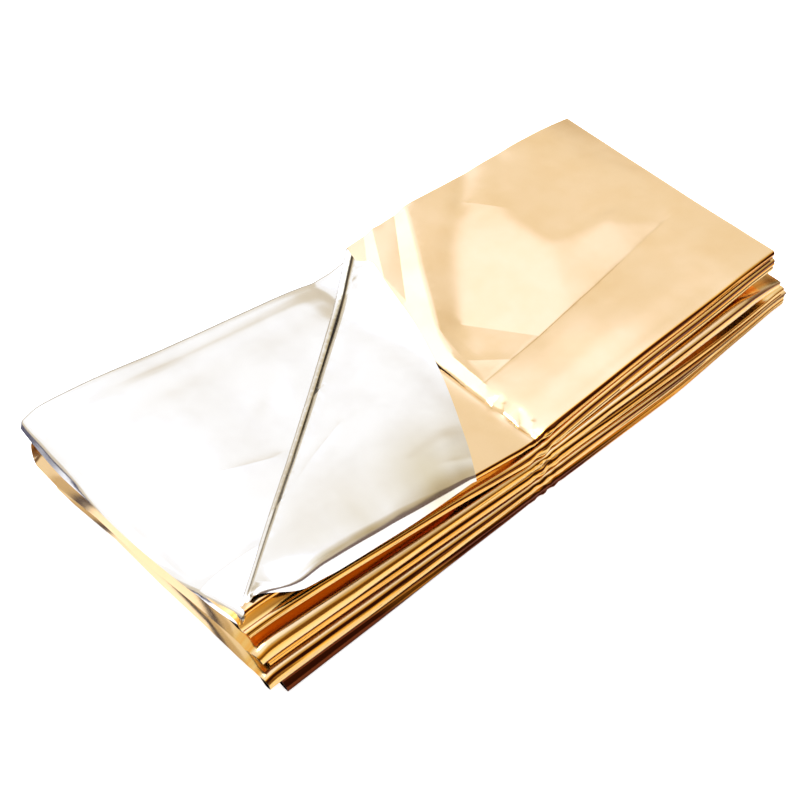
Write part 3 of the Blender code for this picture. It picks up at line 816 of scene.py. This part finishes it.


# Both faces share: cloudy tone, uneven gloss, fine lines along the folds, and painted shade in three steps.
def filmFinishAndShadeGroup():
    tree = bpy.data.node_groups.new("filmFinishAndPaintedShade", "ShaderNodeTree")
    face = tree.interface
    sizes = (("Cloud Size", 16.0), ("Line Pitch", 0.8), ("Gloss Spread", 0.1), ("Base Roughness", 0.16))
    for name, value in sizes:
        socket = face.new_socket(name, in_out="INPUT", socket_type="NodeSocketFloat")
        socket.default_value = value
    for name in ("Tone", "Roughness", "Height", "Painted Tint", "Deep", "Painted Deep Shade"):
        face.new_socket(name, in_out="OUTPUT", socket_type="NodeSocketFloat")
    node, link = tree.nodes.new, tree.links.new
    given, made = node("NodeGroupInput"), node("NodeGroupOutput")
    place = node("ShaderNodeTexCoord")
    maths = mathsIn(tree)

    def noise(scale, detail, stretch=(1, 1, 1)):
        mapping, part = node("ShaderNodeMapping"), node("ShaderNodeTexNoise")
        mapping.inputs["Scale"].default_value = stretch
        link(place.outputs["UV"], mapping.inputs["Vector"])
        link(mapping.outputs["Vector"], part.inputs["Vector"])
        part.inputs["Detail"].default_value = detail
        link(scale, part.inputs["Scale"])
        return part.outputs[0]

    # The UV map is the flat film in metres, so 1000 divided by a size in millimetres is a scale.
    clouds = noise(maths("DIVIDE", 1000.0, given.outputs["Cloud Size"]), 4.0)
    lines = noise(maths("DIVIDE", 1000.0, given.outputs["Line Pitch"]), 2.0, (0.06, 1, 1))
    streaks = noise(maths("DIVIDE", 240.0, given.outputs["Line Pitch"]), 2.0, (0.022, 1, 1))
    scuffs = noise(maths("DIVIDE", 2600.0, given.outputs["Cloud Size"]), 6.0)
    link(clouds, made.inputs["Tone"])
    spread = maths("MULTIPLY", maths("SUBTRACT", scuffs, 0.45), given.outputs["Gloss Spread"])
    link(maths("ADD", given.outputs["Base Roughness"], spread), made.inputs["Roughness"])
    link(maths("ADD", maths("MULTIPLY", lines, 0.35), scuffs), made.inputs["Height"])
    # Painted shade and painted reflection, broken into streaks: its three thirds turn gold to yellow, orange
    # and brown.
    paintedShade = node("ShaderNodeAttribute")
    paintedShade.attribute_name = "paintedShade"
    streaky = maths("ADD", 0.5, maths("MULTIPLY", maths("SUBTRACT", streaks, 0.34), 2.6))
    amount = maths("MULTIPLY", paintedShade.outputs["Fac"], streaky)
    for name, low in (("Painted Tint", 0.0), ("Deep", 0.35), ("Painted Deep Shade", 0.7)):
        part = node("ShaderNodeMapRange")
        part.inputs["From Min"].default_value = low
        part.inputs["From Max"].default_value = low + 0.35
        link(amount, part.inputs["Value"])
        link(part.outputs["Result"], made.inputs[name])
    return tree


# One face of the film, gold or silver, and the painted shade colours that it turns to in its folds.
def filmMaterial(side, group, shadeColours):
    material = bpy.data.materials.new(side + "Film")
    material.use_nodes = True
    tree = material.node_tree
    shader = tree.nodes["Principled BSDF"]
    finishAndShade = tree.nodes.new("ShaderNodeGroup")
    finishAndShade.node_tree = group
    finishAndShade.inputs["Base Roughness"].default_value = finishesAndPaintedShades["roughness"]
    finishAndShade.inputs["Line Pitch"].default_value = finishesAndPaintedShades[side + "Lines"]
    ramp = tree.nodes.new("ShaderNodeValToRGB")
    ramp.color_ramp.elements[0].position = 0.3
    ramp.color_ramp.elements[1].position = 0.6
    ramp.color_ramp.elements[0].color = (*finishesAndPaintedShades[side + "Deep"], 1)
    ramp.color_ramp.elements[1].color = (*finishesAndPaintedShades[side + "Colour"], 1)
    bump = tree.nodes.new("ShaderNodeBump")
    bump.inputs["Strength"].default_value = 0.05
    bump.inputs["Distance"].default_value = 0.4 * mm
    link = tree.links.new
    link(finishAndShade.outputs["Tone"], ramp.inputs["Fac"])
    colour = ramp.outputs["Color"]
    for number, fold in enumerate(shadeColours):
        mix = tree.nodes.new("ShaderNodeMix")
        mix.data_type = "RGBA"
        link(finishAndShade.outputs[("Painted Tint", "Deep", "Painted Deep Shade")[number]], mix.inputs["Factor"])
        link(colour, mix.inputs[6])
        mix.inputs[7].default_value = (*finishesAndPaintedShades[fold], 1)
        colour = mix.outputs[2]
    link(colour, shader.inputs["Base Color"])
    link(finishAndShade.outputs["Roughness"], shader.inputs["Roughness"])
    link(finishAndShade.outputs["Height"], bump.inputs["Height"])
    link(bump.outputs["Normal"], shader.inputs["Normal"])
    shader.inputs["Metallic"].default_value = 1.0
    shader.inputs["Coat Weight"].default_value = finishesAndPaintedShades["coat"]
    shader.inputs["Coat Roughness"].default_value = finishesAndPaintedShades["coatRoughness"]
    return material


# Painted shade and painted reflection where the gold mostly sees more gold: 1 in the valleys between the
# front folds, less on the folds in painted bands from the foot of each to its top, and 0 on the open faces.
def foldPaintedShade(x, layers, run, y):
    paintedShade = np.zeros_like(x)
    for layer in range(topLayer):
        turn = (run - packet["layerRun"]) / packet["foldRun"]
        mine = (layers == layer) & ((layer < topLayer - 1) | (turn > 0))
        front = layerEdges(layer, x[mine])[0]
        behind = y[mine] - front
        paintedShade[mine] = 0.62 * smoothStep((behind + 1.0) / 2.0) * np.exp(-np.maximum(0, behind - 3) / 4)
        if layer % 2 == 0:
            nose = mine & (turn > 0)
            rise = (1 - np.cos(np.pi * np.clip(turn[nose], 0, 1))) / 2
            bands = curve(noses["paintedShadeSteps"], noses["paintedShadeBands"][layer // 2], rise)
            atRight = noses["paintedShadeRight"][layer // 2]
            bands *= curve((20, 110, 220), (1, 0.3 + 0.7 * atRight, atRight), x[nose])
            sunk = smoothStep((y[nose] - layerEdges(layer, x[nose])[0] + 0.3) / 1.0)
            paintedShade[nose] = np.maximum(bands, 0.8 * sunk)
    return paintedShade


# Strengths of the turned corner's painted shade and painted reflection, by where they stand.
shades = {
    "lineTurn": (0.36, 0.57, 0.6, 0.69, 0.8),  # shares of the way round the curl
    "line": (0, 0.5, 0.9, 0.8, 0),
    "lineAlong": (0, 40, 90, 156),
    "lineFade": (0.1, 0.25, 0.8, 1),
    "lipAt": (0, 0.3, 0.9, 1.7, 2.7),  # in from the bend
    "lip": (0.06, 0.16, 0.35, 0.26, 0),
    "grey": 0.26,
}


# Painted shade and reflection on the turned corner: a dark line in its fold, a tan edge inside its lip, grey
# to the front.
def flapShade(x, run, placed):
    flatX, flatY = x - foldFrom[0], run - foldFrom[1]
    along = flatX * alongFold[0] + flatY * alongFold[1]
    away = flatX * awayFold[0] + flatY * awayFold[1]
    radius = flap["radius"][0] + (flap["radius"][1] - flap["radius"][0]) * along / flap["foldLength"]
    line = curve(shades["lineTurn"], shades["line"], away / (np.pi * radius))
    line *= curve(shades["lineAlong"], shades["lineFade"], along)
    inside = flatX - stripDepth(run) + flap["stripFlat"]
    lip = curve(shades["lipAt"], shades["lip"], inside) * smoothStep((run - 9) / 8)
    toRight = np.clip(0.2 + (placed[:, 0] - 10) / 75, 0, 1)
    grey = shades["grey"] * smoothStep((36 - placed[:, 1]) / 30) * toRight
    return np.where(away > 0, np.maximum(np.maximum(line, lip), grey), 0.0)


def foilFilm():
    mesh = flatBand()
    cutCurl(mesh)
    cutCreases(mesh)
    flat = np.array([v.co[:2] for v in mesh.verts])
    print("flat film:", len(flat), "points in", packet["layers"], "layers")
    placed = placeFilm(flat[:, 0], flat[:, 1])
    placed[:, :2] -= packet["middle"]
    for vertex, point in zip(mesh.verts, placed * mm):
        vertex.co = point
    bmesh.ops.triangulate(mesh, faces=[f for f in mesh.faces if len(f.verts) > 4])
    data = bpy.data.meshes.new("foilFilm")
    mesh.to_mesh(data)
    mesh.free()
    print("folded film:", len(data.polygons), "faces before its thickness")
    flatPoints = np.column_stack([flat * mm, np.zeros(len(flat))])
    data.attributes.new("flat", "FLOAT_VECTOR", "POINT").data.foreach_set("vector", flatPoints.ravel())
    layers = np.minimum(topLayer, (flat[:, 1] // layerLength).astype(int))
    slack = np.where(layers >= topLayer - 1, 1.0, 0.8)
    data.attributes.new("slack", "FLOAT", "POINT").data.foreach_set("value", slack)
    run = flat[:, 1] - layers * layerLength
    # Painted shade and painted reflection, kept as a point attribute for the film's colours.
    paintedShade = foldPaintedShade(flat[:, 0], layers, run, placed[:, 1] + packet["middle"][1])
    paintedShade = np.where(layers == topLayer, flapShade(flat[:, 0], run, placed[:, :2] + packet["middle"]), paintedShade)
    data.attributes.new("paintedShade", "FLOAT", "POINT").data.foreach_set("value", paintedShade)
    uv = data.uv_layers.new(name="flatFilm")
    corner = np.empty(len(data.loops), int)
    data.loops.foreach_get("vertex_index", corner)
    uv.data.foreach_set("uv", (flat[corner] * mm).ravel())
    group = filmFinishAndShadeGroup()
    gold = filmMaterial("gold", group, ("goldPaintedTint", "goldPaintedFoldShade", "goldPaintedRecessShade"))
    silver = filmMaterial("silver", group, ("silverPaintedShadeAndSheen", "silverPaintedFoldShadow"))
    data.materials.append(gold)
    data.materials.append(silver)
    shaped = bpy.data.objects.new("foilShaped", data)
    bpy.context.scene.collection.objects.link(shaped)
    tree, values = crinkleTree(gold)
    wrinkles = shaped.modifiers.new("crinkle", "NODES")
    wrinkles.node_group = tree
    for item in tree.interface.items_tree:
        if item.in_out == "INPUT" and item.name in values:
            wrinkles[item.identifier] = values[item.name]
    wall = shaped.modifiers.new("thickness", "SOLIDIFY")
    wall.thickness = film["thickness"] * mm
    wall.offset = 0.0
    wall.material_offset = 1
    wall.material_offset_rim = 0
    graph = bpy.context.evaluated_depsgraph_get()
    whole = bpy.data.meshes.new_from_object(shaped.evaluated_get(graph))
    bpy.data.objects.remove(shaped)
    whole.name = "foilFilm"
    marked, steep = np.zeros(len(whole.edges), bool), np.zeros(len(whole.edges), bool)
    whole.attributes["sharp_edge"].data.foreach_get("value", marked)
    whole.shade_smooth()
    whole.set_sharp_from_angle(angle=math.radians(film["sharpAngle"]))
    whole.attributes["sharp_edge"].data.foreach_get("value", steep)
    whole.attributes["sharp_edge"].data.foreach_set("value", marked | steep)
    piece = bpy.data.objects.new("foilFilm", whole)
    bpy.context.scene.collection.objects.link(piece)
    return piece


blanket = foilFilm()
print("film:", len(blanket.data.polygons), "faces,", [m.name for m in blanket.data.materials])
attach(blanket, "root")
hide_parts("foil_blanket")

studio = {
    "floorSize": 3.0,
    "floorColour": (0.93, 0.93, 0.93),
    "floorGlow": 0.75,  # keeps the floor white round the packet, for the camera alone
    "wallFoot": (0.12, 0.17),  # how high the walls start: these heights are the Z of a direction
    "lowTop": (0.40, 0.49),
    "darkTop": (0.54, 0.63, 0.76, 0.84),
    "wall": (1.04, 1.02, 1.0),
    "lowWall": (0.72, 0.62, 0.47),
    "high": (1.3, 1.36, 1.6),  # above the dark side
    "horizon": (0.03, 0.022, 0.015),
    "horizonLeft": (0.04, 0.04, 0.10),
    "dark": (0.22, 0.158, 0.14),
    "softbox": (1.36, 1.46, 1.86),
    "softboxAt": (0.16, 0.29, 0.943),
    "softboxEdge": (19.0, 31.0),  # degrees from its middle where it is full and gone
    "lamp": (1.9, 2.1, 2.6),
    "lampAt": (0.12, 0.56, 0.82),
    "lampEdge": (4.0, 16.0),
    "darkSide": (0.5, -0.866),
    "keyPower": 9.0,
    "keySize": 0.5,
    "keyAt": (-0.15, 0.1, 1.1),
    "backdrop": (0.95, 0.95, 0.95),
}

cameraView = {
    "at": (-275.8 * mm, -270.2 * mm, 374.9 * mm),
    "lookAt": (-15.8 * mm, 0.56 * mm, 10.0 * mm),
    "lens": 75.45,
}


def floorPlane():
    half = studio["floorSize"] / 2
    data = bpy.data.meshes.new("floor")
    corners = [(-half, -half, 0), (half, -half, 0), (half, half, 0), (-half, half, 0)]
    data.from_pydata(corners, [], [(0, 1, 2, 3)])
    floor = bpy.data.objects.new("floor", data)
    bpy.context.scene.collection.objects.link(floor)
    material = bpy.data.materials.new("floorPaper")
    material.use_nodes = True
    shader = material.node_tree.nodes["Principled BSDF"]
    shader.inputs["Base Color"].default_value = (*studio["floorColour"], 1)
    shader.inputs["Roughness"].default_value = 0.9
    shader.inputs["Specular IOR Level"].default_value = 0.1
    shader.inputs["Emission Color"].default_value = (1, 1, 1, 1)
    seen = material.node_tree.nodes.new("ShaderNodeLightPath")
    amount = material.node_tree.nodes.new("ShaderNodeMath")
    amount.operation = "MULTIPLY"
    amount.inputs[1].default_value = studio["floorGlow"]
    material.node_tree.links.new(seen.outputs["Is Camera Ray"], amount.inputs[0])
    material.node_tree.links.new(amount.outputs[0], shader.inputs["Emission Strength"])
    data.materials.append(material)


# A room of soft light: pale walls from a low step up, a dark horizon, a dark side at the front right, and a
# large soft box up behind.
def studioRoom():
    world = bpy.data.worlds.new("studio")
    bpy.context.scene.world = world
    world.use_nodes = True
    tree = world.node_tree
    node, link = tree.nodes.new, tree.links.new
    background = tree.nodes["Background"]
    way = node("ShaderNodeTexCoord").outputs["Generated"]
    parts = node("ShaderNodeSeparateXYZ")
    link(way, parts.inputs[0])
    maths = mathsIn(tree)

    def ramp(value, stops):
        part = node("ShaderNodeValToRGB")
        link(value, part.inputs["Fac"])
        marks = part.color_ramp.elements
        while len(marks) < len(stops):
            marks.new(0.5)
        for mark, (place, colour) in zip(marks, stops):
            mark.position = place
            mark.color = (*colour, 1)
        return part.outputs["Color"]

    def smooth(value, low, high):
        part = node("ShaderNodeMapRange")
        part.interpolation_type = "SMOOTHSTEP"
        link(value, part.inputs["Value"])
        part.inputs["From Min"].default_value = low
        part.inputs["From Max"].default_value = high
        return part.outputs["Result"]

    def mixed(share, a, b):
        part = node("ShaderNodeMix")
        part.data_type = "RGBA"
        part.clamp_result = False
        link(share, part.inputs["Factor"])
        for socket, value in zip((part.inputs[6], part.inputs[7]), (a, b)):
            if hasattr(value, "is_output"):
                link(value, socket)
            else:
                socket.default_value = (*value, 1)
        return part.outputs[2]

    skyline = mixed(smooth(parts.outputs["X"], -0.6, -0.1), studio["horizonLeft"], studio["horizon"])
    names = ("lowWall", "lowWall", "wall", "wall")
    places = (0.0, *studio["lowTop"], 1.0)
    upper = ramp(parts.outputs["Z"], [(place, studio[name]) for place, name in zip(places, names)])
    wall = mixed(smooth(parts.outputs["Z"], *studio["wallFoot"]), skyline, upper)
    names = ("dark", "dark", "lowWall", "lowWall", "high")
    places = (0.0, *studio["darkTop"])
    dark = ramp(parts.outputs["Z"], [(place, studio[name]) for place, name in zip(places, names)])
    sideX = maths("MULTIPLY", parts.outputs["X"], studio["darkSide"][0])
    side = maths("ADD", sideX, maths("MULTIPLY", parts.outputs["Y"], studio["darkSide"][1]))
    squareZ = maths("MULTIPLY", parts.outputs["Z"], parts.outputs["Z"])
    level = maths("SQRT", maths("SUBTRACT", 1.0001, squareZ), 0)
    facing = smooth(maths("DIVIDE", side, level), 0.0, 0.6)
    room = mixed(facing, wall, dark)
    lit = room
    for name in ("softbox", "lamp"):
        toward = node("ShaderNodeVectorMath")
        toward.operation = "DOT_PRODUCT"
        link(way, toward.inputs[0])
        toward.inputs[1].default_value = studio[name + "At"]
        full, gone = (math.cos(math.radians(angle)) for angle in studio[name + "Edge"])
        lit = mixed(smooth(toward.outputs["Value"], gone, full), lit, studio[name])
    seen = mixed(node("ShaderNodeLightPath").outputs["Is Camera Ray"], lit, studio["backdrop"])
    link(seen, background.inputs["Color"])
    background.inputs["Strength"].default_value = 1.0


def keyLight():
    data = bpy.data.lights.new("key", "AREA")
    data.shape = "SQUARE"
    data.size = studio["keySize"]
    data.energy = studio["keyPower"]
    light = bpy.data.objects.new("key", data)
    light.location = studio["keyAt"]
    bpy.context.scene.collection.objects.link(light)


def placeCamera():
    data = bpy.data.cameras.new("camera")
    data.lens = cameraView["lens"]
    data.sensor_width = 36.0
    data.clip_start = 0.01
    camera = bpy.data.objects.new("camera", data)
    at, lookAt = np.array(cameraView["at"]), np.array(cameraView["lookAt"])
    way = lookAt - at
    camera.location = at
    tilt = math.atan2(math.hypot(way[0], way[1]), -way[2])
    camera.rotation_euler = (tilt, 0, math.atan2(-way[0], way[1]))
    bpy.context.scene.collection.objects.link(camera)
    bpy.context.scene.camera = camera


floorPlane()
studioRoom()
keyLight()
placeCamera()
bpy.context.scene.view_settings.view_transform = "Standard"
print("studio: floor, room, key light and camera")
